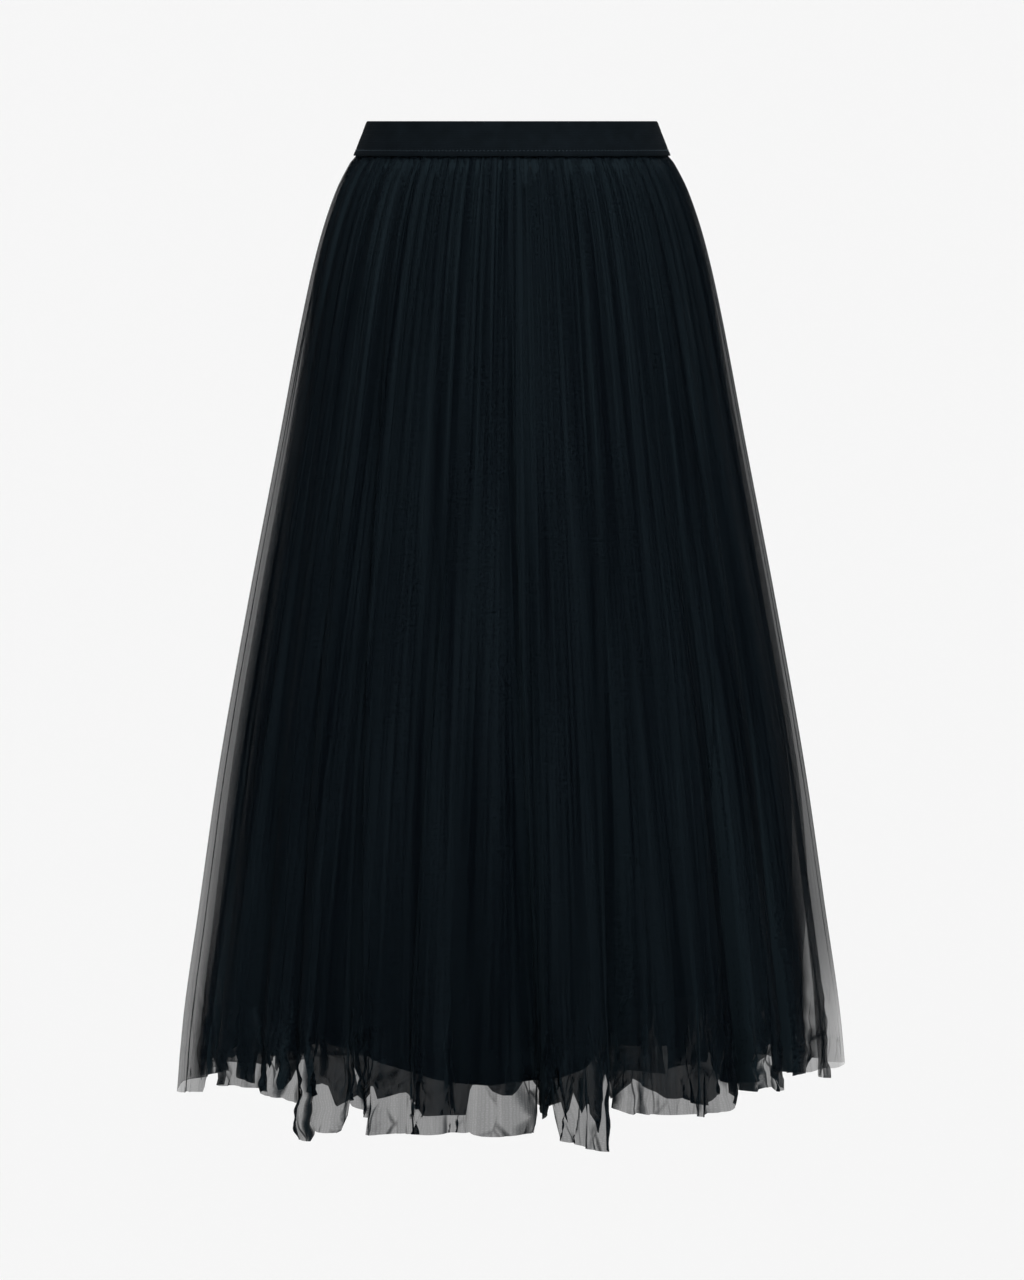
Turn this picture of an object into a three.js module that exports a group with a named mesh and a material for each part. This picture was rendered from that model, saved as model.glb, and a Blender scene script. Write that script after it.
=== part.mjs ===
// A gathered tulle midi skirt on an elastic waistband, filled out as if worn, in millimetres.
// +Z is up, -Y is the front and +X is the right as seen from the front.
// The origin is the middle of the waist, halfway up the waistband.
// An angle around the skirt is 0 at the centre front, 90 at +X and 180 at the centre back, in degrees.
// A drop is a distance straight down from the waistband's top edge.
import * as THREE from "three";

// Driving sizes
const BAND_HEIGHT = 30;
const BAND_WALL = 2;
const TULLE_WALL = 1;
const LINING_WALL = 1.2;
const SEAM_GAP = 0.3;
const BEHIND_BAND = 0.7; // how far the cloth stays clear of the waistband's inner face
const TUCK = 7; // how far the cloth runs up behind the waistband
const BULGE_FROM = 4; // how far below the waistband the cloth starts to swell out over its edge
const BULGE_TO = 18; // and where it has swelled out fully

// The outline that the crests of the outer tulle touch, seen from the front and from the side
const OUTLINE = [
  { drop: 0, halfWidth: 126, halfDepth: 95, backShift: 0 },
  { drop: 30, halfWidth: 138, halfDepth: 105, backShift: 1 },
  { drop: 60, halfWidth: 153, halfDepth: 117, backShift: 3 },
  { drop: 105, halfWidth: 168, halfDepth: 129, backShift: 6 },
  { drop: 170, halfWidth: 183, halfDepth: 143, backShift: 9 },
  { drop: 280, halfWidth: 204, halfDepth: 161, backShift: 10 },
  { drop: 420, halfWidth: 231, halfDepth: 185, backShift: 8 },
  { drop: 560, halfWidth: 256, halfDepth: 208, backShift: 5 },
  { drop: 690, halfWidth: 275, halfDepth: 229, backShift: 3 },
  { drop: 780, halfWidth: 288, halfDepth: 243, backShift: 2 },
  { drop: 870, halfWidth: 296, halfDepth: 252, backShift: 2 },
];

// The long folds: each is a valley between two tubes of tulle, from the waist down to the hem
const FRONT_FOLDS = [
  { waist: -82, hem: -79, halfAngle: 5, depth: 14 },
  { waist: -74, hem: -65, halfAngle: 6, depth: 26 },
  { waist: -64, hem: -52, halfAngle: 6, depth: 22 },
  { waist: -53, hem: -41, halfAngle: 6, depth: 34 },
  { waist: -42, hem: -31, halfAngle: 6, depth: 34 },
  { waist: -20, hem: -19, halfAngle: 6, depth: 10 },
  { waist: -9, hem: -9, halfAngle: 6, depth: 12 },
  { waist: 0, hem: 2, halfAngle: 6, depth: 36 },
  { waist: 18, hem: 20, halfAngle: 6, depth: 38 },
  { waist: 30, hem: 32, halfAngle: 6, depth: 14 },
  { waist: 41, hem: 44, halfAngle: 6, depth: 32 },
  { waist: 59, hem: 57, halfAngle: 6, depth: 26 },
  { waist: 74, hem: 73, halfAngle: 6, depth: 18 },
];
const BACK_FOLDS = [
  { waist: 100, hem: 101, halfAngle: 5, depth: 16 },
  { waist: 112, hem: 114, halfAngle: 6, depth: 26 },
  { waist: 124, hem: 127, halfAngle: 6, depth: 30 },
  { waist: 137, hem: 139, halfAngle: 6, depth: 20 },
  { waist: 149, hem: 152, halfAngle: 6, depth: 34 },
  { waist: 163, hem: 164, halfAngle: 6, depth: 22 },
  { waist: 177, hem: 176, halfAngle: 6, depth: 34 },
  { waist: 189, hem: 190, halfAngle: 6, depth: 16 },
  { waist: 202, hem: 204, halfAngle: 7, depth: 36 },
  { waist: 217, hem: 218, halfAngle: 6, depth: 18 },
  { waist: 231, hem: 231, halfAngle: 6, depth: 32 },
  { waist: 244, hem: 243, halfAngle: 6, depth: 26 },
  { waist: 258, hem: 256, halfAngle: 6, depth: 18 },
];
const FOLDS_REACH = 870; // the drop where the folds have their full depth
const FOLD_GROWTH = 2.1; // how late the folds open out on the way down
const FOLD_DRIFT = 0.6; // how early they have swung from their waist angle to their hem angle

// The cut edges, which hang lower on some tubes than on others
const TULLE_HEM = [
  { angle: -90, drop: 846 },
  { angle: -72, drop: 838 },
  { angle: -65, drop: 820 },
  { angle: -59, drop: 828 },
  { angle: -45, drop: 829 },
  { angle: -41, drop: 836 },
  { angle: -38, drop: 864 },
  { angle: -34, drop: 855 },
  { angle: -31, drop: 826 },
  { angle: -26, drop: 834 },
  { angle: -24, drop: 853 },
  { angle: -12, drop: 849 },
  { angle: 0, drop: 854 },
  { angle: 2, drop: 835 },
  { angle: 7, drop: 832 },
  { angle: 9, drop: 857 },
  { angle: 16, drop: 868 },
  { angle: 18, drop: 834 },
  { angle: 20, drop: 812 },
  { angle: 22, drop: 836 },
  { angle: 33, drop: 847 },
  { angle: 40, drop: 838 },
  { angle: 44, drop: 826 },
  { angle: 54, drop: 829 },
  { angle: 57, drop: 817 },
  { angle: 70, drop: 819 },
  { angle: 90, drop: 824 },
  { angle: 120, drop: 848 },
  { angle: 140, drop: 838 },
  { angle: 158, drop: 862 },
  { angle: 176, drop: 842 },
  { angle: 196, drop: 854 },
  { angle: 218, drop: 836 },
  { angle: 244, drop: 856 },
  { angle: 270, drop: 846 },
];
const LINING_HEM = [
  { angle: -90, drop: 788 },
  { angle: -36, drop: 798 },
  { angle: 0, drop: 790 },
  { angle: 28, drop: 746 },
  { angle: 60, drop: 748 },
  { angle: 90, drop: 768 },
  { angle: 180, drop: 790 },
  { angle: 270, drop: 788 },
];
const UNDER_TULLE_RISE = 18; // how much higher the under layer is cut than the outer one

// The fine gathers, deepest just under the waistband and pulled out flat lower down
const GATHERS_PER_PANEL = 54;
const SHALLOWEST_GATHER = 0.5; // as a share of the deepest
const GATHER_CHANGE = 2.4; // radians that the depth's own slow wave turns from one gather to the next
const GATHER_DEPTH = [
  { drop: 34, depth: 0 },
  { drop: 60, depth: 4.2 },
  { drop: 120, depth: 4.2 },
  { drop: 200, depth: 3.2 },
  { drop: 480, depth: 1.2 },
  { drop: 870, depth: 0 },
];

// How far inside the outer tulle the two inner layers hang; behind the waistband all three lie together
const UNDER_TULLE_INSET = [
  { drop: 34, inset: TULLE_WALL + SEAM_GAP },
  { drop: 60, inset: 6.6 },
  { drop: 200, inset: 6.6 },
  { drop: 480, inset: 8 },
  { drop: 690, inset: 12 },
  { drop: 870, inset: 17 },
];
const LINING_INSET = [
  { drop: 34, inset: 2 * (TULLE_WALL + SEAM_GAP) },
  { drop: 60, inset: 9 },
  { drop: 200, inset: 10.4 },
  { drop: 480, inset: 17 },
  { drop: 690, inset: 27 },
  { drop: 870, inset: 37 },
];
const UNDER_TULLE_WAVES = { count: 18, depth: 4 }; // its own extra waves all round the hem
const LINING_FOLD_SHARE = 0.6; // how much of the long folds the lining follows
const INNER_REACH = 1.6; // how many degrees wider the inner layers' folds are, to pass behind the outer ones

// The drops of the level rings that each piece is built from, above its hem
const TOP_RINGS = [BAND_HEIGHT - TUCK, BAND_HEIGHT + BULGE_FROM];
const OUTER_DROPS = [...TOP_RINGS, 60, 120, 200, 330, 480, 630, 760];
const UNDER_DROPS = [...TOP_RINGS, 60, 120, 200, 480, 690];
const LINING_DROPS = [...TOP_RINGS, 60, 120, 200, 480];
const BAND_DROPS = [0, BAND_HEIGHT];
const BAND_STEPS = 96;
const OUTER_STEPS = 2 * GATHERS_PER_PANEL; // a step down into each gather and a step out of it
const INNER_STEPS = GATHERS_PER_PANEL;

const radians = THREE.MathUtils.degToRad;
const smooth = THREE.MathUtils.smoothstep;

// The value of one column of a table at a place between its rows, on a smooth curve through them
function read(table, key, column, at) {
  const last = table.length - 1;
  const found = table.findIndex((row) => row[key] > at);
  const i = THREE.MathUtils.clamp(found < 0 ? last - 1 : found - 1, 0, last - 1);
  const slope = (a, b) => (table[b][column] - table[a][column]) / (table[b][key] - table[a][key]);
  const span = table[i + 1][key] - table[i][key];
  const t = THREE.MathUtils.clamp((at - table[i][key]) / span, 0, 1);
  const start = slope(Math.max(i - 1, 0), i + 1) * span;
  const end = slope(i, Math.min(i + 2, last)) * span;
  const rise = table[i + 1][column] - table[i][column];
  return table[i][column] + t * (start + t * (3 * rise - 2 * start - end + t * (start + end - 2 * rise)));
}

// A point of the outline, moved inwards by inset, and the direction that faces out of it
function outlinePoint(angle, drop, inset) {
  const halfWidth = read(OUTLINE, "drop", "halfWidth", drop);
  const halfDepth = read(OUTLINE, "drop", "halfDepth", drop);
  const a = radians(angle);
  const outward = new THREE.Vector3(halfDepth * Math.sin(a), -halfWidth * Math.cos(a), 0).normalize();
  const point = new THREE.Vector3(halfWidth * Math.sin(a), -halfDepth * Math.cos(a), 0);
  point.addScaledVector(outward, -inset);
  point.y += read(OUTLINE, "drop", "backShift", drop);
  point.z = BAND_HEIGHT / 2 - drop;
  return { point, outward };
}

// How far the long folds and waves have opened out at this drop, up to 1 at the hem
function opened(drop) {
  return Math.pow(drop / FOLDS_REACH, FOLD_GROWTH);
}

// How deep the long folds push the cloth in at this place
function foldDepth(folds, angle, drop) {
  const drift = Math.pow(drop / FOLDS_REACH, FOLD_DRIFT);
  let depth = 0;
  for (const fold of folds) {
    const middle = THREE.MathUtils.lerp(fold.waist, fold.hem, drift);
    const off = Math.abs(angle - middle) / fold.halfAngle;
    if (off < 1) depth = Math.max(depth, fold.depth * opened(drop) * Math.cos((off * Math.PI) / 2) ** 2);
  }
  return depth;
}

// The same for an inner layer, which clears the deepest place nearby
function innerFoldDepth(folds, angle, drop) {
  return Math.max(...[-INNER_REACH, 0, INNER_REACH].map((off) => foldDepth(folds, angle + off, drop)));
}

// The gathers are waves of uneven depth, 0 on a crest and up to 1 in a valley
function gatherWave(share) {
  const turn = share * GATHERS_PER_PANEL;
  const change = (1 + Math.sin(GATHER_CHANGE * Math.floor(turn))) / 2;
  const deepest = THREE.MathUtils.lerp(SHALLOWEST_GATHER, 1, change);
  return (deepest * (1 - Math.cos(2 * Math.PI * turn))) / 2;
}

// Behind the waistband the cloth is flat against its inner face, and it swells out below
function tuckInset(drop) {
  return (BAND_WALL + BEHIND_BAND) * (1 - smooth(drop, BAND_HEIGHT + BULGE_FROM, BAND_HEIGHT + BULGE_TO));
}

// How far inside the outline the outer face of each layer lies
const INSETS = {
  outer: (panel, share, angle, drop) =>
    tuckInset(drop) +
    read(GATHER_DEPTH, "drop", "depth", drop) * gatherWave(share) +
    foldDepth(panel.folds, angle, drop),
  under: (panel, share, angle, drop) =>
    tuckInset(drop) +
    read(UNDER_TULLE_INSET, "drop", "inset", drop) +
    innerFoldDepth(panel.folds, angle, drop) +
    UNDER_TULLE_WAVES.depth * opened(drop) * Math.sin(radians((UNDER_TULLE_WAVES.count * angle) / 2)) ** 2,
  lining: (panel, share, angle, drop) =>
    tuckInset(drop) +
    read(LINING_INSET, "drop", "inset", drop) +
    LINING_FOLD_SHARE * innerFoldDepth(panel.folds, angle, drop),
};

// One ring of a panel from seam to seam: the points of its outer face, and of its inner face a wall behind
function panelRing(panel, inset, steps, wall, dropAt) {
  const outer = [];
  const outwards = [];
  for (let i = 0; i <= steps; i++) {
    const share = i / steps;
    const plainAngle = panel.middle + 180 * (share - 0.5);
    const drop = dropAt(plainAngle);
    const trim = THREE.MathUtils.radToDeg(SEAM_GAP / 2 / read(OUTLINE, "drop", "halfDepth", drop));
    const angle = plainAngle + trim * (1 - 2 * share);
    const place = outlinePoint(angle, drop, inset(panel, share, angle, drop));
    outer.push(place.point);
    outwards.push(place.outward);
  }
  const inner = outer.map((point, i) => {
    const outward = outwards[i].clone();
    if (i > 0 && i < steps) {
      const along = outer[i + 1].clone().sub(outer[i - 1]);
      outward.set(along.y, -along.x, 0).normalize();
    }
    return point.clone().addScaledVector(outward, -wall);
  });
  return { outer, inner };
}

// The faces between two rings of as many points each
function strip(faces, upper, lower, turned) {
  const add = (a, b, c) => faces.push(turned ? [a, c, b] : [a, b, c]);
  for (let i = 0; i < lower.length - 1; i++) {
    add(upper[i], lower[i], lower[i + 1]);
    add(upper[i], lower[i + 1], upper[i + 1]);
  }
}

// A closed wall from its rings, top first; a closed one meets itself and has no side edges
function wallGeometry(rings, closed = false) {
  const faces = [];
  for (let i = 0; i < rings.length - 1; i++) {
    strip(faces, rings[i].outer, rings[i + 1].outer, false);
    strip(faces, rings[i].inner, rings[i + 1].inner, true);
    if (closed) continue;
    const [top, bottom] = [rings[i], rings[i + 1]];
    strip(faces, [top.inner[0], top.outer[0]], [bottom.inner[0], bottom.outer[0]], false);
    strip(faces, [top.outer.at(-1), top.inner.at(-1)], [bottom.outer.at(-1), bottom.inner.at(-1)], false);
  }
  strip(faces, rings[0].inner, rings[0].outer, false);
  strip(faces, rings.at(-1).outer, rings.at(-1).inner, false);
  return new THREE.BufferGeometry().setFromPoints(faces.flat());
}

// A panel has level rings at its drops and a last one along its hem table, raised by rise
function panelGeometry(panel, inset, wall, steps, drops, hem, rise = 0) {
  const rings = drops.map((drop) => panelRing(panel, inset, steps, wall, () => drop));
  const hemDrop = (angle) => read(hem, "angle", "drop", angle) - rise;
  rings.push(panelRing(panel, inset, steps, wall, hemDrop));
  return wallGeometry(rings);
}

// The waistband is one loop without ends
function bandGeometry() {
  const angles = Array.from({ length: BAND_STEPS + 1 }, (_, i) => ((i % BAND_STEPS) * 360) / BAND_STEPS);
  const rings = BAND_DROPS.map((drop) => {
    const face = (inset) => angles.map((angle) => outlinePoint(angle, drop, inset).point);
    return { outer: face(0), inner: face(BAND_WALL) };
  });
  return wallGeometry(rings, true);
}

const MATERIALS = {
  elastic: new THREE.MeshStandardMaterial({ color: 0x1a2228, roughness: 0.8, metalness: 0 }),
  tulle: new THREE.MeshStandardMaterial({ color: 0x11181e, roughness: 0.7, metalness: 0 }),
  lining: new THREE.MeshStandardMaterial({ color: 0x0b0f14, roughness: 0.5, metalness: 0 }),
};

function addMesh(group, name, geometry, material) {
  const mesh = new THREE.Mesh(geometry, material);
  geometry.computeVertexNormals();
  mesh.name = name;
  group.add(mesh);
}

const PANELS = [
  { side: "front", middle: 0, folds: FRONT_FOLDS },
  { side: "back", middle: 180, folds: BACK_FOLDS },
];

const skirt = new THREE.Group();
addMesh(skirt, "waistband", bandGeometry(), MATERIALS.elastic);
for (const panel of PANELS) {
  const outer = panelGeometry(panel, INSETS.outer, TULLE_WALL, OUTER_STEPS, OUTER_DROPS, TULLE_HEM);
  const under = panelGeometry(
    panel, INSETS.under, TULLE_WALL, INNER_STEPS, UNDER_DROPS, TULLE_HEM, UNDER_TULLE_RISE,
  );
  const lining = panelGeometry(panel, INSETS.lining, LINING_WALL, INNER_STEPS, LINING_DROPS, LINING_HEM);
  addMesh(skirt, `outer_tulle_${panel.side}`, outer, MATERIALS.tulle);
  addMesh(skirt, `under_tulle_${panel.side}`, under, MATERIALS.tulle);
  addMesh(skirt, `lining_${panel.side}`, lining, MATERIALS.lining);
}

export default skirt;
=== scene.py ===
import math

import bpy
import numpy as np
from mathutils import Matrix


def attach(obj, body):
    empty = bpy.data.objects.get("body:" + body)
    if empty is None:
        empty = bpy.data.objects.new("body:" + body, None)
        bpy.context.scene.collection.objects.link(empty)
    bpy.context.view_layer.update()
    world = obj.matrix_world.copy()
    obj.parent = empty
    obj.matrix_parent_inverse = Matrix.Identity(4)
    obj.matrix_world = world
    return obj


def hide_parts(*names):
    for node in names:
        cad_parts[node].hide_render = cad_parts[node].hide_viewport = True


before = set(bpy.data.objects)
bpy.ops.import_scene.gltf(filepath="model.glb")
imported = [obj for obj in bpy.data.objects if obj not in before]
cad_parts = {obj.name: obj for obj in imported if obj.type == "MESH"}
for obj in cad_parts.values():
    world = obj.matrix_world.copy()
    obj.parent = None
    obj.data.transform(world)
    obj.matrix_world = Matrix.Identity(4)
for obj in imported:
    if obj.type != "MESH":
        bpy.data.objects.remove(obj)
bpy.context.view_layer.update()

# Waistband
# One loop of black woven elastic, 30 mm wide and 2 mm thick, joined at the centre back.
# Its upper third has woven ribs and the rest is smooth. It is sewn over the gathered edge of the
# tulle and the lining.

MM = 0.001
BAND_HEIGHT = 30
BAND_WALL = 2
BAND_POINTS = 256
RIB_COUNT = 6
RIB_PITCH = 1.2
RIB_RISE = 0.3


def table(columns, *rows):
    """A small table: a column's name gives its values, one for each row."""
    return dict(zip(columns.split(), np.array(rows, float).T))


# The outline that the crests of the outer tulle touch, by the drop below the waistband's top edge
OUTLINE = table(
    "drop half_width half_depth back_shift",
    (0, 126, 95, 0),
    (30, 138, 105, 1),
    (60, 153, 117, 3),
    (105, 168, 129, 6),
    (170, 183, 143, 9),
    (280, 204, 161, 10),
    (420, 231, 185, 8),
    (560, 256, 208, 5),
    (690, 275, 229, 3),
    (780, 288, 243, 2),
    (870, 296, 252, 2),
)


def read(rows, key, column, at):
    """A column of a table at places between its rows, on a smooth curve through them."""
    keys, values = rows[key], rows[column]
    at = np.asarray(at, float)
    last = len(keys) - 1
    i = np.clip(np.searchsorted(keys, at, side="right") - 1, 0, last - 1)
    before, after = np.maximum(i - 1, 0), np.minimum(i + 2, last)
    span = keys[i + 1] - keys[i]
    t = np.clip((at - keys[i]) / span, 0, 1)
    start = (values[i + 1] - values[before]) / (keys[i + 1] - keys[before]) * span
    end = (values[after] - values[i]) / (keys[after] - keys[i]) * span
    rise = values[i + 1] - values[i]
    return values[i] + t * (start + t * (3 * rise - 2 * start - end + t * (start + end - 2 * rise)))


def start_alone():
    """Nothing is selected, so that the next operator acts on its own piece alone."""
    if bpy.context.object and bpy.context.object.mode != "OBJECT":
        bpy.ops.object.mode_set(mode="OBJECT")
    bpy.ops.object.select_all(action="DESELECT")


def apply_all(piece):
    """Applies the piece's modifiers and its place, so that its shape is all in its mesh."""
    start_alone()
    piece.select_set(True)
    bpy.context.view_layer.objects.active = piece
    for modifier in list(piece.modifiers):
        bpy.ops.object.modifier_apply(modifier=modifier.name)
    bpy.ops.object.transform_apply(location=True, rotation=True, scale=True)
    bpy.ops.object.shade_smooth()


band_profile = [(0, -0.5), (0.5, 0)]
for rib in range(RIB_COUNT):
    band_profile.append((1 + rib * RIB_PITCH, 0))
    band_profile.append((1 + (rib + 0.5) * RIB_PITCH, RIB_RISE))
band_profile += [(9, 0), (16, 0.2), (23, 0.1), (25.2, -0.3), (27, 0.2), (29.4, 0), (BAND_HEIGHT, -0.5)]


def band_ring(drop, rise):
    """The half width, the half depth and the middle of the waistband's outer face at a drop."""
    half_width = read(OUTLINE, "drop", "half_width", drop) + rise
    half_depth = read(OUTLINE, "drop", "half_depth", drop) + rise
    return float(half_width), float(half_depth), float(read(OUTLINE, "drop", "back_shift", drop))


start_alone()
bpy.ops.mesh.primitive_circle_add(vertices=BAND_POINTS, radius=MM, location=(0, 0, BAND_HEIGHT / 2 * MM))
band = bpy.context.object
band.name = "waistband_elastic"
bpy.ops.object.mode_set(mode="EDIT")
bpy.ops.mesh.select_all(action="SELECT")
was = (1, 1, 0)
was_drop = 0
for drop, rise in band_profile:
    now = band_ring(drop, rise)
    if drop > 0:
        bpy.ops.mesh.extrude_edges_move(TRANSFORM_OT_translate={"value": (0, 0, (was_drop - drop) * MM)})
    bpy.ops.transform.resize(
        value=(now[0] / was[0], now[1] / was[1], 1), center_override=(0, was[2] * MM, 0)
    )
    bpy.ops.transform.translate(value=(0, (now[2] - was[2]) * MM, 0))
    was, was_drop = now, drop
bpy.ops.mesh.select_all(action="SELECT")
bpy.ops.mesh.normals_make_consistent(inside=False)
bpy.ops.object.mode_set(mode="OBJECT")
wall = band.modifiers.new("wall", "SOLIDIFY")
wall.thickness = BAND_WALL * MM
wall.offset = -1
apply_all(band)


def linear(hex_colour):
    """An sRGB hex colour as the linear red, green, blue and alpha that a node takes."""
    parts = [int(hex_colour[i : i + 2], 16) / 255 for i in (1, 3, 5)]
    return tuple(c / 12.92 if c <= 0.04045 else ((c + 0.055) / 1.055) ** 2.4 for c in parts) + (1,)


def node(tree, kind, links=(), settings=(), **values):
    """Adds one node with its settings, its input values and its links from other nodes' outputs.
    An input value is given by the input's name, or by i and the input's number."""
    made = tree.nodes.new(kind)
    for key, value in dict(settings).items():
        setattr(made, key, value)
    for key, value in values.items():
        made.inputs[int(key[1:]) if key[1:].isdigit() else key.replace("_", " ")].default_value = value
    for key, output in dict(links).items():
        tree.links.new(output, made.inputs[key])
    return made


def new_material(name):
    """An empty material with no nodes, and its node tree."""
    made = bpy.data.materials.new(name)
    made.use_nodes = True
    made.node_tree.nodes.clear()
    return made, made.node_tree


# Woven elastic: rubber covered with black polyester yarn, so it is matt, with a faint rim of light
# at its turned ends. The weft shows as fine ridges along it. It is finer than the picture can show,
# so its ridges are drawn 2 mm apart.
elastic, tree = new_material("woven_elastic")
place = node(tree, "ShaderNodeTexCoord")
weft = node(
    tree, "ShaderNodeTexWave", {"Vector": place.outputs["Object"]},
    {"wave_type": "BANDS", "bands_direction": "Z"}, Scale=160, Distortion=0.6, Detail=2,
)
mottle = node(tree, "ShaderNodeTexNoise", {"Vector": place.outputs["Object"]}, Scale=90, Detail=4)
colour = node(
    tree, "ShaderNodeMix", {"Factor": mottle.outputs["Fac"]}, {"data_type": "RGBA"},
    i6=linear("#06090b"), i7=linear("#0d1216"),
)
weave = node(tree, "ShaderNodeBump", {"Height": weft.outputs["Fac"]}, Strength=0.35, Distance=0.0003)
grain = node(
    tree, "ShaderNodeBump", {"Height": mottle.outputs["Fac"], "Normal": weave.outputs["Normal"]},
    Strength=0.3, Distance=0.0003,
)
cloth = node(
    tree, "ShaderNodeBsdfPrincipled",
    {"Base Color": colour.outputs[2], "Normal": grain.outputs["Normal"]},
    Roughness=0.8, Specular_IOR_Level=0.01, Sheen_Weight=0.002, Sheen_Roughness=0.5,
    Sheen_Tint=linear("#aab8c6"),
)
node(tree, "ShaderNodeOutputMaterial", {"Surface": cloth.outputs["BSDF"]})
band.data.materials.append(elastic)
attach(band, "root")
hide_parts("waistband")

# Waistband stitching
# A narrow zigzag in black thread goes all round, 4 to 5 mm above the elastic's lower edge.
# Two short rows run up the join at the centre back.

STITCH_LENGTH = 2.3
STITCH_PITCH = 3
THREAD = 0.6
STITCH_DROP = 25.2
ZIGZAG_SLANT = 35
JOIN_STITCHES = 8


def band_point(angle, drop, out):
    """A point on the waistband's outer face, moved out, with angle 0 at the centre front."""
    half_width, half_depth, back = band_ring(drop, out)
    turn = math.radians(angle)
    return (
        half_width * math.sin(turn) * MM,
        (back - half_depth * math.cos(turn)) * MM,
        (BAND_HEIGHT / 2 - drop) * MM,
    )


start_alone()
bpy.ops.mesh.primitive_uv_sphere_add(segments=6, ring_count=5, radius=THREAD / 2 * MM)
stitch = bpy.context.object
stitch.scale = (STITCH_LENGTH / THREAD, 1, 1)
apply_all(stitch)
half_width, half_depth, _ = band_ring(STITCH_DROP, 0)
round_length = math.pi * (half_width + half_depth)
stitch_count = round(round_length / STITCH_PITCH)
stitches = []
for i in range(stitch_count):
    angle = 360 * i / stitch_count
    copy = stitch.copy()
    copy.data = stitch.data.copy()
    copy.location = band_point(angle, STITCH_DROP, 0)
    here, there = band_point(angle - 1, STITCH_DROP, 0), band_point(angle + 1, STITCH_DROP, 0)
    slant = math.radians(ZIGZAG_SLANT if i % 2 else -ZIGZAG_SLANT)
    copy.rotation_euler = (0, slant, math.atan2(there[1] - here[1], there[0] - here[0]))
    bpy.context.collection.objects.link(copy)
    stitches.append(copy)
for side in (-1, 1):
    for i in range(JOIN_STITCHES):
        copy = stitch.copy()
        copy.data = stitch.data.copy()
        copy.location = band_point(180 + side * 1.2, 3 + i * STITCH_PITCH, 0.2)
        copy.rotation_euler = (0, math.pi / 2, 0)
        bpy.context.collection.objects.link(copy)
        stitches.append(copy)
start_alone()
for copy in stitches:
    copy.select_set(True)
stitch.select_set(False)
bpy.context.view_layer.objects.active = stitches[0]
bpy.ops.object.join()
sewing = bpy.context.object
sewing.name = "waistband_stitching"
bpy.data.objects.remove(stitch)
apply_all(sewing)

# Spun polyester thread: black with a slight shine, a little lighter than the elastic.
thread, tree = new_material("polyester_thread")
place = node(tree, "ShaderNodeTexCoord")
twist = node(tree, "ShaderNodeTexNoise", {"Vector": place.outputs["Object"]}, Scale=900, Detail=2)
colour = node(
    tree, "ShaderNodeMix", {"Factor": twist.outputs["Fac"]}, {"data_type": "RGBA"},
    i6=linear("#161d22"), i7=linear("#2c363d"),
)
yarn = node(
    tree, "ShaderNodeBsdfPrincipled", {"Base Color": colour.outputs[2]},
    Roughness=0.6, Specular_IOR_Level=0.1,
)
node(tree, "ShaderNodeOutputMaterial", {"Surface": yarn.outputs["BSDF"]})
sewing.data.materials.append(thread)
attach(sewing, "root")

# Outer tulle
# The top layer of soft nylon tulle, a flared front and a flared back joined at the side seams and
# gathered on to the elastic. Fine gathers run down from the waist and run together into long tubes,
# and the raw cut hem is crushed and uneven.

TUCK = 7
BEHIND_BAND = 0.7
SEAM_LAP = 0.5
BULGE_FROM, BULGE_TO = 30, 37
FOLDS_REACH = 870
FOLD_GROWTH = 2.1
FOLD_DRIFT = 0.6

# Each long fold is a valley between two tubes: its angle at the waist and at the hem, half its
# width, its depth at the hem, and how far its bottom leans under the tube on one side
FRONT_FOLDS = table(
    "waist hem half_angle depth lean",
    (-82, -79, 5, 4, 0),
    (-74, -65, 6, 26, -0.4),
    (-64, -52, 6, 22, 0.3),
    (-53, -41, 4.5, 12, 0.2),
    (-42, -31, 4.5, 14, 0.4),
    (-20, -19, 6, 10, 0.3),
    (-9, -9, 6, 12, -0.3),
    (0, 2, 6, 36, 0.6),
    (18, 20, 6, 38, -0.3),
    (30, 32, 6, 14, 0.4),
    (41, 44, 6, 32, 0.6),
    (59, 57, 6, 26, 0.5),
    (74, 73, 6, 8, 0),
)
BACK_FOLDS = table(
    "waist hem half_angle depth lean",
    (100, 101, 5, 16, 0.3),
    (112, 114, 6, 26, -0.5),
    (124, 127, 6, 30, 0.5),
    (137, 139, 6, 20, 0.2),
    (149, 152, 6, 34, -0.6),
    (163, 164, 6, 22, 0.4),
    (177, 176, 6, 34, 0.6),
    (189, 190, 6, 16, -0.2),
    (202, 204, 7, 36, -0.5),
    (217, 218, 6, 18, 0.4),
    (231, 231, 6, 32, 0.6),
    (244, 243, 6, 26, -0.4),
    (258, 256, 6, 18, 0.3),
)

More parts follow.
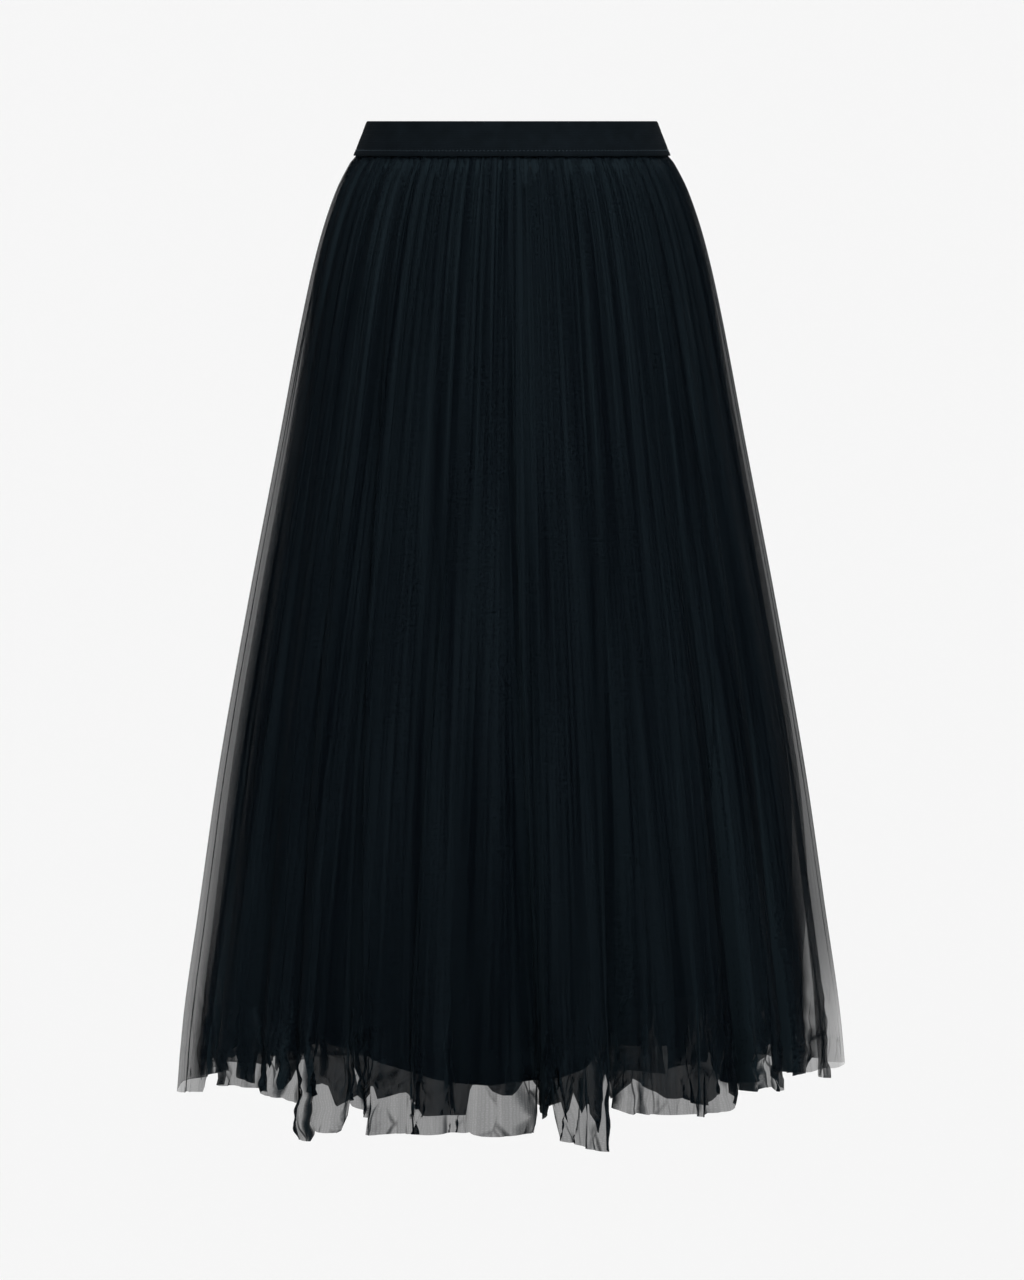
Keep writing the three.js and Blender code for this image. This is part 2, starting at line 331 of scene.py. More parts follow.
# Sharp edges where one fold laps over the next: their angle at the waist and at the hem, the drop
# they start from, the side their crest is on, and the step's depth and the width it dies away over
FRONT_CREASES = table(
    "waist hem start crest depth width",
    (-66, -70, 60, 1, 5, 4),
    (-48, -41, 40, 1, 4, 5),
    (-43, -36, 400, -1, 3, 2),
    (-39, -25, 120, 1, 8, 5),
    (-20, -24, 200, -1, 3, 3),
    (-10, -21, 200, 1, 6, 6),
    (-1, 3, 120, 1, 9, 4),
    (7, 12, 220, 1, 3, 3),
    (25, 25, 160, -1, 7, 5),
    (42, 42, 200, -1, 9, 6),
    (57, 56, 160, -1, 9, 5),
    (64, 34, 60, -1, 3, 3),
    (72, 70, 240, -1, 3, 4),
)
BACK_CREASES = table(
    "waist hem start crest depth width",
    (106, 104, 80, 1, 6, 5),
    (118, 121, 200, 1, 8, 5),
    (131, 130, 150, -1, 5, 4),
    (144, 148, 300, 1, 8, 5),
    (158, 155, 90, -1, 4, 4),
    (170, 172, 160, 1, 9, 5),
    (183, 186, 240, -1, 6, 5),
    (196, 193, 120, -1, 8, 6),
    (209, 212, 260, 1, 5, 4),
    (224, 222, 180, -1, 9, 5),
    (238, 241, 100, 1, 6, 4),
    (251, 249, 220, -1, 7, 5),
)

# The crushed hem ends in tubes of uneven length: where each one starts and stops round the hem, and
# how far down its two ends hang
FRONT_TUBES = table(
    "left left_drop right right_drop",
    (-90, 850, -70, 838), (-69, 823, -64, 819), (-63, 830, -57, 825), (-56, 826, -48.5, 828),
    (-48, 826, -44.5, 830), (-44, 830, -39.5, 840), (-38.7, 864, -36.3, 865), (-35.7, 856, -32.7, 855),
    (-32, 829, -29, 826), (-28.4, 832, -26.5, 835), (-26.1, 840, -25, 840), (-24.7, 854, -5.2, 850),
    (-4.9, 852, 0.8, 855), (1.1, 831, 2.4, 832), (3, 836, 6.6, 840), (7, 826, 7.5, 825),
    (7.9, 855, 17, 869), (17.4, 835, 18.4, 834), (19.6, 812, 20.2, 812), (21, 834, 23.4, 839),
    (23.7, 837, 36.1, 844), (36.5, 840, 41.3, 837), (41.8, 829, 48, 827), (48.6, 823, 50, 823),
    (50.5, 827, 55.1, 829), (56.4, 817, 70, 816), (70.6, 819, 90, 824),
)
BACK_TUBES = table(
    "left left_drop right right_drop",
    (90, 824, 99, 830), (99.6, 842, 106, 848), (106.5, 834, 110, 832), (111, 846, 122, 852),
    (122.6, 838, 126, 836), (126.6, 848, 134, 842), (134.6, 828, 138, 830), (138.6, 846, 149, 858),
    (149.6, 836, 153, 834), (153.6, 862, 161, 866), (161.6, 848, 166, 844), (166.6, 830, 175, 836),
    (175.6, 856, 186, 850), (186.6, 838, 190, 836), (190.6, 852, 201, 860), (201.6, 840, 206, 838),
    (206.6, 850, 215, 846), (215.6, 828, 220, 832), (220.6, 846, 230, 850), (230.6, 836, 235, 834),
    (235.6, 854, 243, 858), (243.6, 840, 250, 836), (250.6, 830, 256, 834), (256.6, 844, 270, 850),
)
FLUTES_FROM = 690
PINCH_PITCH = 1.7
CRUMPLE = 5
CRUMPLE_WAVES = 9
HEM_MM_A_DEGREE = 4.7
LEFT_SIDE_WIDTH = 18
RIGHT_SIDE_WIDTH = 24
LEAST_FACING = 0.22
PANELS = {
    "front": {
        "middle": 0, "seed": 11, "folds": FRONT_FOLDS, "creases": FRONT_CREASES, "tubes": FRONT_TUBES,
    },
    "back": {
        "middle": 180, "seed": 12, "folds": BACK_FOLDS, "creases": BACK_CREASES, "tubes": BACK_TUBES,
    },
}


def ease(low, high, at):
    """Goes smoothly from 0 at low to 1 at high."""
    t = np.clip((at - low) / (high - low), 0, 1)
    return t * t * (3 - 2 * t)


def folded(folds, angle, drop, start=0, growth=FOLD_GROWTH, turning=FOLD_DRIFT):
    """How deep the folds push the cloth in, and how many degrees they draw it aside."""
    share = np.maximum(drop - start, 0) / (FOLDS_REACH - start)
    opened = share**growth
    drift = share**turning
    depth = np.zeros_like(angle)
    aside = np.zeros_like(angle)
    for waist, hem, half, deep, lean in zip(*folds.values()):
        middle = waist + (hem - waist) * drift
        off = np.clip((angle - middle) / half, -1, 1)
        valley = np.cos(off * math.pi / 2) ** 2
        depth = np.maximum(depth, deep * opened * valley)
        aside += half * opened * (lean * valley - 0.2 * np.sin(off * math.pi))
    return depth, aside


def tube_hem(tubes, angle):
    """How far down the hem hangs: level or slanting across each tube, with a steep step between."""
    places = np.stack([tubes["left"], tubes["right"]], 1).ravel()
    drops = np.stack([tubes["left_drop"], tubes["right_drop"]], 1).ravel()
    return np.interp(angle, places, drops)


def crushing(tubes, angle):
    """How crushed the hem is: less in the wide tubes, which hang open and plain."""
    width = np.interp(angle, (tubes["left"] + tubes["right"]) / 2, tubes["right"] - tubes["left"])
    return 1 - 0.85 * ease(4, 8, width)


def valleys_between(tubes, deepest, seed):
    """The valleys between the tubes of a hem, and many thin pinches that slant towards it, which
    are shallow in the wide tubes."""
    chance = np.random.default_rng(seed)
    rows = []
    width = tubes["right"] - tubes["left"]
    narrower = np.minimum(width[:-1], width[1:])
    for at, wide in zip((tubes["right"][:-1] + tubes["left"][1:]) / 2, narrower):
        half = max(0.5, min(chance.uniform(1.2, 2.2), 0.35 * wide))
        depth = deepest * chance.uniform(0.5, 1)
        rows.append((at + chance.uniform(-3, 3), at, half, depth, chance.uniform(-0.8, 0.8)))
    for at in np.arange(tubes["left"][0] + 1, tubes["right"][-1], PINCH_PITCH):
        half = chance.uniform(0.4, 1)
        slant = chance.uniform(-15, 15)
        depth = 0.8 * deepest * half * crushing(tubes, at)
        rows.append((at + slant, at, half, depth, chance.uniform(-1.4, 1.4)))
    return table("waist hem half_angle depth lean", *rows)


def lapped(off, width):
    """1 just behind a lapped edge and dying away over its width, and 0 in front of the edge."""
    return np.exp(np.minimum(off, 0) / width) * (1 - ease(-0.15, 0.3, off))


def lapped_edges(creases, angle, drop):
    """How deep the cloth steps in behind the sharp edges."""
    depth = np.zeros_like(angle)
    for waist, hem, start, crest, deep, width in zip(*creases.values()):
        middle = waist + (hem - waist) * drop / FOLDS_REACH
        depth += deep * ease(start, start + 220, drop) * lapped((angle - middle) * crest, width)
    return depth


def fine_gathers(panel, angle, drop, count, deepest, width, reach, seed):
    """Troughs that start under the waistband, wander a little and die out at uneven drops. Some
    are soft on both sides, and some step in at one side."""
    chance = np.random.default_rng(seed)
    pitch = 180 / count
    depth = np.zeros_like(angle)
    for k in range(count):
        start = panel["middle"] - 90 + pitch * (k + 0.5 + chance.uniform(-0.35, 0.35))
        wander = chance.uniform(-1.6, 1.6)
        length = reach * chance.uniform(0.3, 1.3)
        strength = deepest * chance.uniform(0.35, 1)
        breadth = width * chance.uniform(0.6, 1.4)
        crest = chance.choice((-1, 0, 1))
        near = np.abs(angle - start) < 8
        fall = drop[near]
        middle = start + wander * np.sin(fall / 210 + k) * (fall / FOLDS_REACH)
        fade = ease(BULGE_FROM - 2, BULGE_TO, fall) * (1 - ease(0.35 * length, length, fall))
        off = angle[near] - middle
        trough = lapped(off * crest, 1.6 * breadth) if crest else np.exp(-((off / breadth) ** 2))
        depth[near] += strength * fade * trough
    return depth


def crumpled(across, down, seed):
    """Straight-edged facets of crushed net: triangle waves that cross each other in patches."""
    chance = np.random.default_rng(seed)
    total = np.zeros_like(across)
    for _ in range(CRUMPLE_WAVES):
        turn = chance.uniform(-1.1, 1.1)
        pitch = chance.uniform(11, 40)
        along = across * math.cos(turn) + down * math.sin(turn)
        wave = np.abs((along / pitch + chance.uniform()) % 1 - 0.5) * 2 - 0.5
        patch = np.sin(across / chance.uniform(25, 70) + chance.uniform(0, 6))
        total += pitch / 26 * wave * ease(-0.6, 0.8, patch)
    return total


def outward(angle, drop):
    """The direction that faces straight out of the outline at an angle and a drop."""
    turn = np.radians(angle)
    x = read(OUTLINE, "drop", "half_depth", drop) * np.sin(turn)
    y = -read(OUTLINE, "drop", "half_width", drop) * np.cos(turn)
    length = np.hypot(x, y)
    return x / length, y / length


def at_left(angle):
    """1 at the left side seam, falling to 0 within about 35 degrees of it."""
    front = np.exp(-(((angle + 90) / LEFT_SIDE_WIDTH) ** 2))
    back = np.exp(-(((angle - 270) / LEFT_SIDE_WIDTH) ** 2))
    return front + back


def at_right(angle):
    """The same at the right side seam, but wider, as the tulle stands further out there."""
    return np.exp(-(((angle - 90) / RIGHT_SIDE_WIDTH) ** 2))


def panel_sheet(name, panel, columns, rows, top, hem_drops, shape, fullness=1):
    """A sheet of cloth from seam to seam, from a grid that is laid round the outline. Its rows lie
    closer together towards the hem. It keeps two measures for the net's material: how much net a
    ray meets, which also lightens the net's colour as a painted highlight, and how crushed the cloth is."""
    start_alone()
    bpy.ops.mesh.primitive_grid_add(x_subdivisions=columns, y_subdivisions=rows, size=1)
    sheet = bpy.context.object
    sheet.name = name
    mesh = sheet.data
    flat = np.zeros(len(mesh.vertices) * 3)
    mesh.vertices.foreach_get("co", flat)
    share = flat[0::3] + 0.5
    fall = 1 - (flat[1::3] + 0.5)
    fall = 1.25 * fall - 0.25 * fall**5
    plain_angle = panel["middle"] + 180 * (share - 0.5)
    hem = hem_drops(plain_angle)
    drop = top + (hem - top) * fall
    lap = np.degrees(SEAM_LAP / read(OUTLINE, "drop", "half_depth", drop))
    angle = plain_angle - lap * (1 - 2 * share)
    inset, aside = shape(panel, angle, drop)
    away = np.minimum(share, 1 - share) * 180
    at = angle + aside * ease(0, 4, away)
    out_x, out_y = outward(at, drop)
    turn = np.radians(at)
    x = read(OUTLINE, "drop", "half_width", drop) * np.sin(turn) - inset * out_x
    y = -read(OUTLINE, "drop", "half_depth", drop) * np.cos(turn) - inset * out_y
    y += read(OUTLINE, "drop", "back_shift", drop)
    z = BAND_HEIGHT / 2 - drop
    mesh.vertices.foreach_set("co", np.stack([x, y, z], 1).ravel() * MM)
    mesh.update()
    corners = np.zeros(len(mesh.loops), int)
    mesh.loops.foreach_get("vertex_index", corners)
    cut = np.stack([share, drop * MM], 1)[corners]
    mesh.uv_layers[0].name = "cut"
    mesh.uv_layers[0].uv.foreach_set("vector", cut.ravel())
    normals = np.zeros(len(mesh.vertices) * 3)
    mesh.vertex_normals.foreach_get("vector", normals)
    facing = np.abs(normals[0::3] * out_x + normals[1::3] * out_y)
    seam = np.exp(-((away * 4.5 / 4) ** 2))
    girth = read(OUTLINE, "drop", "half_width", drop) / read(OUTLINE, "drop", "half_width", FOLDS_REACH)
    sides = at_left(angle) + at_right(angle)
    spread = 1 - 0.5 * at_left(angle) - (0.3 + 0.45 * ease(690, 800, drop)) * at_right(angle)
    spread *= fullness * (1 - 0.7 * (fullness - 1) * sides)
    edge_on = 1 / np.clip(facing, LEAST_FACING, 1)
    plain = 0.45 * (1 - ease(640, 780, drop))
    through = 1 + (edge_on - 1) * (plain + (1 - plain) * ease(1.1, 1.9, edge_on))
    bunched = spread * (through + 0.4 * seam) / girth**0.6
    crushed = crushing(panel["tubes"], angle)
    for key, values in (("bunched", bunched), ("crushed", crushed)):
        mesh.attributes.new(key, "FLOAT", "POINT").data.foreach_set("value", values.astype(np.float32))
    apply_all(sheet)
    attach(sheet, "root")
    return sheet


def tuck_inset(drop):
    """Behind the waistband the cloth lies flat on its inner face, and it swells out below."""
    return (BAND_WALL + BEHIND_BAND) * (1 - ease(BULGE_FROM, BULGE_TO, drop))


def clear_of_sides(angle, drop, apart, left_more, right_more):
    """The gap in front of an inner layer: small high up at the sides, and wide down the left side
    and low on the right side, where light shows through the outer tulle alone."""
    left, right = at_left(angle), at_right(angle)
    high = 1 - ease(120, 220, drop)
    close = 0.6 * (left + right) * high + 0.3 * right * (1 - high) * (1 - ease(560, 680, drop))
    more = left_more * left * ease(120, 400, drop) + right_more * right * ease(640, 790, drop)
    return apart * (1 - close) + more


def calm_sides(panel, angle, least):
    """1 over most of a panel, falling towards its sides, and 0 at the seams so that they meet."""
    away = 90 - np.abs(angle - panel["middle"])
    return (1 - (1 - least) * (at_left(angle) + at_right(angle))) * ease(0, 3, away)


def outer_shape(panel, angle, drop):
    """The outer tulle's inset, and how far it is drawn aside."""
    depth, aside = folded(panel["folds"], angle, drop)
    gathers = fine_gathers(panel, angle, drop, 54, 3.6, 0.95, 430, panel["seed"])
    streaks = fine_gathers(panel, angle, drop, 110, 0.9, 0.4, 700, panel["seed"] + 20)
    puckers = fine_gathers(panel, angle, drop, 76, 2, 0.5, 150, panel["seed"] + 30)
    flutes, curl = folded(panel["outer_flutes"], angle, drop, FLUTES_FROM, 1.4, 1)
    swells = fine_gathers(panel, angle, drop, 26, 4.2, 2.1, 1100, panel["seed"] + 10)
    low = ease(735, 830, drop) * crushing(panel["tubes"], angle)
    facets = CRUMPLE * low * crumpled(angle * HEM_MM_A_DEGREE, drop, panel["seed"] + 40)
    fine = np.minimum(gathers, 4) + np.minimum(swells, 7) + streaks + puckers
    fine += lapped_edges(panel["creases"], angle, drop)
    calm = calm_sides(panel, angle, 0.25)
    return tuck_inset(drop) + depth + calm * (fine + flutes + facets), aside + calm * curl


# Soft nylon tulle: a fine hexagonal net of dull navy-black thread. One layer lets a little under a
# third of the light through, and less gets through where it is bunched, creased or turned edge-on.
# The net's holes, about 1 mm in real tulle, are drawn 1.7 mm wide so that they show, and so is the
# grain of 2 mm that two nets make where they lie on each other. Its colour varies at random along
# streaks and grain, and is painted lighter where the net is bunched or turned edge-on: a painted
# highlight on the turned flanks of the folds.
CLEAR_SHARE = 0.31
tulle, tree = new_material("soft_nylon_tulle")
cut = node(tree, "ShaderNodeUVMap", settings={"uv_map": "cut"})
streak_place = node(tree, "ShaderNodeMapping", {"Vector": cut.outputs["UV"]}, Scale=(70, 2, 1))
streak = node(tree, "ShaderNodeTexNoise", {"Vector": streak_place.outputs["Vector"]}, Scale=1, Detail=3)
hair_place = node(tree, "ShaderNodeMapping", {"Vector": cut.outputs["UV"]}, Scale=(300, 3, 1))
hair = node(tree, "ShaderNodeTexNoise", {"Vector": hair_place.outputs["Vector"]}, Scale=1, Detail=2)
net_place = node(tree, "ShaderNodeMapping", {"Vector": cut.outputs["UV"]}, Scale=(620, 720, 1))
net = node(
    tree, "ShaderNodeTexVoronoi", {"Vector": net_place.outputs["Vector"]},
    {"feature": "DISTANCE_TO_EDGE"}, Scale=1, Randomness=0.35,
)
threads = node(
    tree, "ShaderNodeMapRange", {"Value": net.outputs["Distance"]},
    i1=0.0, i2=0.45, i3=1.16, i4=0.87,
)
both = node(
    tree, "ShaderNodeMath", {0: streak.outputs["Fac"], 1: hair.outputs["Fac"]}, {"operation": "ADD"}
)
runs = node(
    tree, "ShaderNodeMapRange", {"Value": both.outputs[0]},
    i1=0.82, i2=1.18, i3=0.92, i4=1.08,
)
grain_place = node(tree, "ShaderNodeMapping", {"Vector": cut.outputs["UV"]}, Scale=(480, 420, 1))
grain = node(tree, "ShaderNodeTexNoise", {"Vector": grain_place.outputs["Vector"]}, Scale=1, Detail=1)
grained = node(
    tree, "ShaderNodeMath", {0: grain.outputs["Fac"], 1: both.outputs[0]}, {"operation": "ADD"}
)
bunched = node(tree, "ShaderNodeAttribute", settings={"attribute_name": "bunched"})
bend = node(tree, "ShaderNodeTexNoise", {"Vector": cut.outputs["UV"]}, Scale=14, Detail=2)
bent = node(
    tree, "ShaderNodeVectorMath", {0: bend.outputs["Color"], 2: cut.outputs["UV"]},
    {"operation": "MULTIPLY_ADD"}, i1=(0.008, 0.02, 0),
)
crease_place = node(tree, "ShaderNodeMapping", {"Vector": bent.outputs[0]}, Scale=(95, 16, 1))
crease = node(
    tree, "ShaderNodeTexVoronoi", {"Vector": crease_place.outputs["Vector"]},
    {"feature": "DISTANCE_TO_EDGE"}, Scale=1, Randomness=1.0,
)
crease_line = node(
    tree, "ShaderNodeMapRange", {"Value": crease.outputs["Distance"]},
    i1=0.0, i2=0.05, i3=1.0, i4=0.0,
)
down = node(tree, "ShaderNodeSeparateXYZ", {"Vector": cut.outputs["UV"]})
crushed_low = node(
    tree, "ShaderNodeMapRange", {"Value": down.outputs["Y"]},
    i1=0.73, i2=0.82, i3=0.0, i4=1.8,
)
patches = node(
    tree, "ShaderNodeMapRange", {"Value": bend.outputs["Fac"]},
    i1=0.42, i2=0.5, i3=0.0, i4=1.0,
)
creased = node(
    tree, "ShaderNodeMath", {0: crease_line.outputs["Result"], 1: crushed_low.outputs["Result"]},
    {"operation": "MULTIPLY"},
)
creased = node(
    tree, "ShaderNodeMath", {0: creased.outputs[0], 1: patches.outputs["Result"]}, {"operation": "MULTIPLY"}
)
crushed = node(tree, "ShaderNodeAttribute", settings={"attribute_name": "crushed"})
creased = node(
    tree, "ShaderNodeMath", {0: creased.outputs[0], 1: crushed.outputs["Fac"]}, {"operation": "MULTIPLY"}
)
thick = node(
    tree, "ShaderNodeMath", {0: bunched.outputs["Fac"], 1: creased.outputs[0]}, {"operation": "ADD"}
)
thick = node(
    tree, "ShaderNodeMath", {0: thick.outputs[0], 1: runs.outputs["Result"]}, {"operation": "MULTIPLY"}
)
netted = node(
    tree, "ShaderNodeMath", {0: thick.outputs[0], 1: threads.outputs["Result"]}, {"operation": "MULTIPLY"}
)
clear = node(tree, "ShaderNodeMath", {1: netted.outputs[0]}, {"operation": "POWER"}, i0=CLEAR_SHARE)
cover = node(tree, "ShaderNodeMath", {1: clear.outputs[0]}, {"operation": "SUBTRACT"}, i0=1.0)
streaks_and_painted_highlight = node(
    tree, "ShaderNodeMapRange", {"Value": grained.outputs[0]},
    i1=1.25, i2=1.75, i3=0.35, i4=1.65,
)
# Painted highlight: the colour is lighter where the net is bunched or turned edge-on, times the random
# streaks and grain.
streaks_and_painted_highlight = node(
    tree, "ShaderNodeMath", {0: bunched.outputs["Fac"], 1: streaks_and_painted_highlight.outputs["Result"]},
    {"operation": "MULTIPLY"},
)
painted_highlight_and_streak_share = node(
    tree, "ShaderNodeMapRange", {"Value": streaks_and_painted_highlight.outputs[0]},
    i1=0.4, i2=2.7, i3=0.0, i4=1.0,
)
colour = node(
    tree, "ShaderNodeMix", {"Factor": painted_highlight_and_streak_share.outputs["Result"]}, {"data_type": "RGBA"},
    i6=linear("#020407"), i7=linear("#10171b"),
)
ripple = node(tree, "ShaderNodeBump", {"Height": streak.outputs["Fac"]}, Strength=0.6, Distance=0.002)
cloth = node(
    tree, "ShaderNodeBsdfPrincipled",
    {"Base Color": colour.outputs[2], "Alpha": cover.outputs[0], "Normal": ripple.outputs["Normal"]},
    Roughness=0.7, Specular_IOR_Level=0.01, Sheen_Weight=0.003, Sheen_Roughness=0.4,
    Sheen_Tint=linear("#9fb2c8"),
)
node(tree, "ShaderNodeOutputMaterial", {"Surface": cloth.outputs["BSDF"]})

for side, panel in PANELS.items():
    panel["outer_flutes"] = valleys_between(panel["tubes"], 10, panel["seed"] + 100)
    sheet = panel_sheet(
        "outer_tulle_" + side + "_net", panel, columns=540, rows=160, top=BAND_HEIGHT - TUCK,
        hem_drops=lambda angle: tube_hem(panel["tubes"], angle), shape=outer_shape,
    )
    sheet.data.materials.append(tulle)
    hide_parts("outer_tulle_" + side)

# Under tulle
# A second layer of the same tulle, cut about 20 mm shorter and hanging inside the outer one. It
# follows the same long folds, and its own hem is crushed into narrower tubes and points.

UNDER_INSET = table(
    "drop inset",
    (34, 1.3), (60, 6.6), (200, 6.6), (480, 8), (690, 12), (870, 17),
)
UNDER_RISE = 17
LOWEST_UNDER = 850
UNDER_FULLNESS = 2
FRONT_UNDER_TUBES = table(
    "left left_drop right right_drop",
    (-90, 830, -80, 830), (-69.5, 804, -66, 797), (-62.3, 822, -62, 822), (-58.8, 805, -55.6, 809),
    (-53, 794, -52.8, 794), (-48.6, 828, -45.5, 825), (-43.6, 794, -43.4, 794), (-42.5, 826, -40.6, 831),
    (-38.5, 820, -36.2, 816), (-34.9, 838, -32.3, 826), (-31.6, 799, -31.3, 799), (-29.2, 826, -27.8, 836),
    (-26.5, 816, -25.5, 818), (-24.9, 827, -21.3, 820), (-20, 835, -17.2, 832), (-15.6, 839, -6.1, 838),
    (-5.8, 813, -3.9, 809), (-3.5, 820, -1.6, 824), (-0.5, 806, 1.4, 814), (4.1, 839, 6.4, 839),
    (8.1, 826, 8.8, 847), (10.8, 819, 11, 819), (12.1, 836, 13.3, 825), (14.9, 854, 16.7, 858),
    (17.3, 816, 18.4, 828), (20, 807, 20.2, 807), (22.1, 830, 24.4, 810), (27.7, 828, 33.4, 832),
    (37.8, 836, 41.8, 831), (42.6, 820, 46.9, 823), (50.6, 820, 52.8, 815), (56.8, 799, 59, 802),
    (64.2, 783, 66, 790), (73.8, 808, 90, 814),
)


def under_shape(panel, angle, drop):
    """The under tulle's inset, and how far it is drawn aside."""
    near = [folded(panel["folds"], angle + off, drop) for off in (-1.6, 0, 1.6)]
    depth = np.maximum(np.maximum(near[0][0], near[1][0]), near[2][0])
    apart = clear_of_sides(angle, drop, read(UNDER_INSET, "drop", "inset", drop), 2, 20)
    gathers = fine_gathers(panel, angle, drop, 46, 2, 1.1, 450, panel["seed"] + 60)
    flutes, curl = folded(panel["under_flutes"], angle, drop, FLUTES_FROM, 1.4, 1)
    low = ease(715, 810, drop)
    shared = crumpled(angle * HEM_MM_A_DEGREE, drop, panel["seed"] + 40)
    own = crumpled(angle * HEM_MM_A_DEGREE, drop, panel["seed"] + 80)
    facets = CRUMPLE * low * (0.7 * shared + 0.6 * own)
    calm = calm_sides(panel, angle, 0.4)
    edges = 0.7 * lapped_edges(panel["creases"], angle, drop)
    inset = depth + apart + calm * (gathers + flutes + edges + facets)
    return tuck_inset(drop) + inset, near[1][1] + calm * curl


def under_tubes(panel, seed):
    """Chance tubes for an under tulle hem that the photo hides, 1 to 6 degrees wide."""
    chance = np.random.default_rng(seed)
    rows = []
    at = panel["middle"] - 90
    while at < panel["middle"] + 90:
        wide = chance.uniform(1.4, 6)
        above = float(tube_hem(panel["tubes"], at + wide / 2))
        drop = min(above, LOWEST_UNDER) - UNDER_RISE - 25 * at_right(at) + chance.uniform(-9, 7)
        if chance.uniform() < 0.7:
            notch = 3 + 4 * wide
            rows.append((at + 0.1, drop - notch, at + wide * chance.uniform(0.3, 0.5), drop + 9))
            rows.append((at + wide * 0.55, drop + 9, at + wide - 0.1, drop - 1.3 * notch))
        else:
            rows.append((at + 0.2, drop - 2, at + wide - 0.2, drop + 2))
        at += wide
    return table("left left_drop right right_drop", *rows)


for side, panel in PANELS.items():
    tubes = FRONT_UNDER_TUBES if side == "front" else under_tubes(panel, panel["seed"] + 140)
    panel["under_flutes"] = valleys_between(tubes, 9, panel["seed"] + 160)
    sheet = panel_sheet(
        "under_tulle_" + side + "_net", panel, columns=400, rows=130, top=BAND_HEIGHT - TUCK,
        hem_drops=lambda angle: tube_hem(tubes, angle), shape=under_shape, fullness=UNDER_FULLNESS,
    )
    sheet.data.materials.append(tulle)
    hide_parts("under_tulle_" + side)

# Lining
# An opaque slip of black satin, an A-line front and back. It is shorter and narrower than the tulle
# and follows its long folds, less deeply, behind it.

LINING_HEM = table(
    "angle drop",
    (-90, 768), (-60, 766), (-34, 788), (-8, 814), (14, 800), (26, 752), (60, 748), (90, 768),
    (180, 790), (270, 768),
)
LINING_INSET = table(
    "drop inset",
    (34, 2.6), (60, 9), (200, 10.4), (480, 17), (690, 27), (870, 37),
)
LINING_FOLD_SHARE = 0.6
LINING_THICKNESS = 0.5


def lining_shape(panel, angle, drop):
    """The lining's inset, and how far it is drawn aside."""
    near = [folded(panel["folds"], angle + off, drop)[0] for off in (-1.6, 0, 1.6)]
    depth = LINING_FOLD_SHARE * np.maximum(np.maximum(near[0], near[1]), near[2])
    apart = clear_of_sides(angle, drop, read(LINING_INSET, "drop", "inset", drop), 12, 36)
    return tuck_inset(drop) + apart + depth, np.zeros_like(angle)


# Polyester satin: black and close woven, with a soft shine that runs down its flutes.
satin, tree = new_material("polyester_satin")
cut = node(tree, "ShaderNodeUVMap", settings={"uv_map": "cut"})
warp_place = node(tree, "ShaderNodeMapping", {"Vector": cut.outputs["UV"]}, Scale=(60, 5, 1))
warp = node(tree, "ShaderNodeTexNoise", {"Vector": warp_place.outputs["Vector"]}, Scale=1, Detail=3)
colour = node(
    tree, "ShaderNodeMix", {"Factor": warp.outputs["Fac"]}, {"data_type": "RGBA"},
    i6=linear("#020304"), i7=linear("#080b0e"),
)
slub = node(tree, "ShaderNodeBump", {"Height": warp.outputs["Fac"]}, Strength=0.3, Distance=0.002)
cloth = node(
    tree, "ShaderNodeBsdfPrincipled",
    {"Base Color": colour.outputs[2], "Normal": slub.outputs["Normal"]},
    Roughness=0.5, Specular_IOR_Level=0.02,
)
node(tree, "ShaderNodeOutputMaterial", {"Surface": cloth.outputs["BSDF"]})

for side, panel in PANELS.items():
    sheet = panel_sheet(
        "lining_" + side + "_satin", panel, columns=160, rows=60, top=BAND_HEIGHT - TUCK,
        hem_drops=lambda angle: read(LINING_HEM, "angle", "drop", angle), shape=lining_shape,
    )
    wall = sheet.modifiers.new("wall", "SOLIDIFY")
    wall.thickness = LINING_THICKNESS * MM
    wall.offset = -1
    apply_all(sheet)
    sheet.data.materials.append(satin)
    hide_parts("lining_" + side)

# Studio
# A pale paper sweep under and behind the skirt, even soft light from all round, and a large soft
# lamp in front of the skirt and above it. The camera stands at waist height, well back, as in the
# photo.

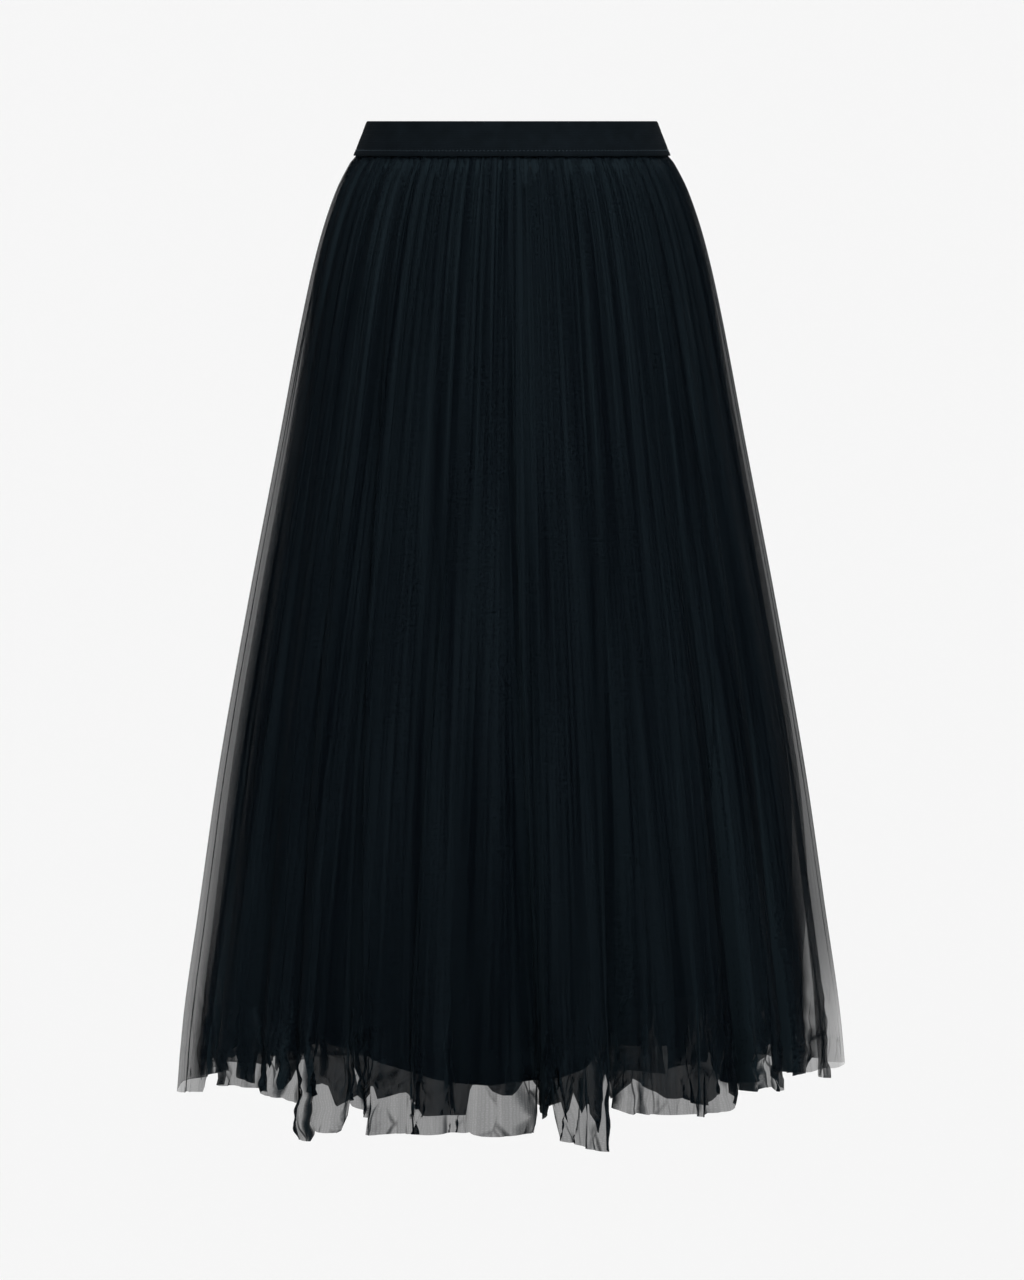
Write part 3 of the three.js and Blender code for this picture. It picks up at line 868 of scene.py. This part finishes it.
start_alone()
bpy.ops.mesh.primitive_plane_add(size=14, location=(0, 0, -2.2))
floor = bpy.context.object
floor.name = "floor"
bpy.ops.object.mode_set(mode="EDIT")
bpy.ops.mesh.select_all(action="DESELECT")
bpy.ops.object.mode_set(mode="OBJECT")
for edge in floor.data.edges:
    edge.select = all(floor.data.vertices[v].co.y > 6 for v in edge.vertices)
bpy.ops.object.mode_set(mode="EDIT")
bpy.ops.mesh.select_mode(type="EDGE")
bpy.ops.mesh.extrude_edges_move(TRANSFORM_OT_translate={"value": (0, 0, 8)})
bpy.ops.object.mode_set(mode="OBJECT")
sweep = floor.modifiers.new("sweep", "BEVEL")
sweep.width = 3
sweep.segments = 24
apply_all(floor)
paper, tree = new_material("pale_paper")
matt = node(
    tree, "ShaderNodeBsdfPrincipled", Base_Color=linear("#fcfcfc"), Roughness=1.0, Specular_IOR_Level=0.0,
)
node(tree, "ShaderNodeOutputMaterial", {"Surface": matt.outputs["BSDF"]})
floor.data.materials.append(paper)

world = bpy.context.scene.world or bpy.data.worlds.new("studio")
bpy.context.scene.world = world
world.use_nodes = True
world.node_tree.nodes["Background"].inputs["Color"].default_value = (1, 1, 1, 1)
world.node_tree.nodes["Background"].inputs["Strength"].default_value = 0.955

start_alone()
bpy.ops.object.light_add(
    type="AREA", location=(0.5, -2.3, 2.0), rotation=(math.radians(43), 0, math.radians(12))
)
lamp = bpy.context.object
lamp.name = "soft_lamp"
lamp.data.shape = "RECTANGLE"
lamp.data.size = 1.6
lamp.data.size_y = 1.2
lamp.data.energy = 9
lamp.data.spread = math.radians(36)

WAIST_HEIGHT = 0.015
DISTANCE = 5.8
FRAME_HEIGHT = 1.115
AIM = -0.437
bpy.ops.object.camera_add(
    location=(0, -DISTANCE, WAIST_HEIGHT),
    rotation=(math.pi / 2 + math.atan2(AIM - WAIST_HEIGHT, DISTANCE), 0, 0),
)
camera = bpy.context.object
camera.data.lens = 36 * DISTANCE / FRAME_HEIGHT
camera.data.clip_end = 100
bpy.context.scene.camera = camera
bpy.context.scene.view_settings.view_transform = "Standard"
bpy.context.scene.cycles.transparent_max_bounces = 32
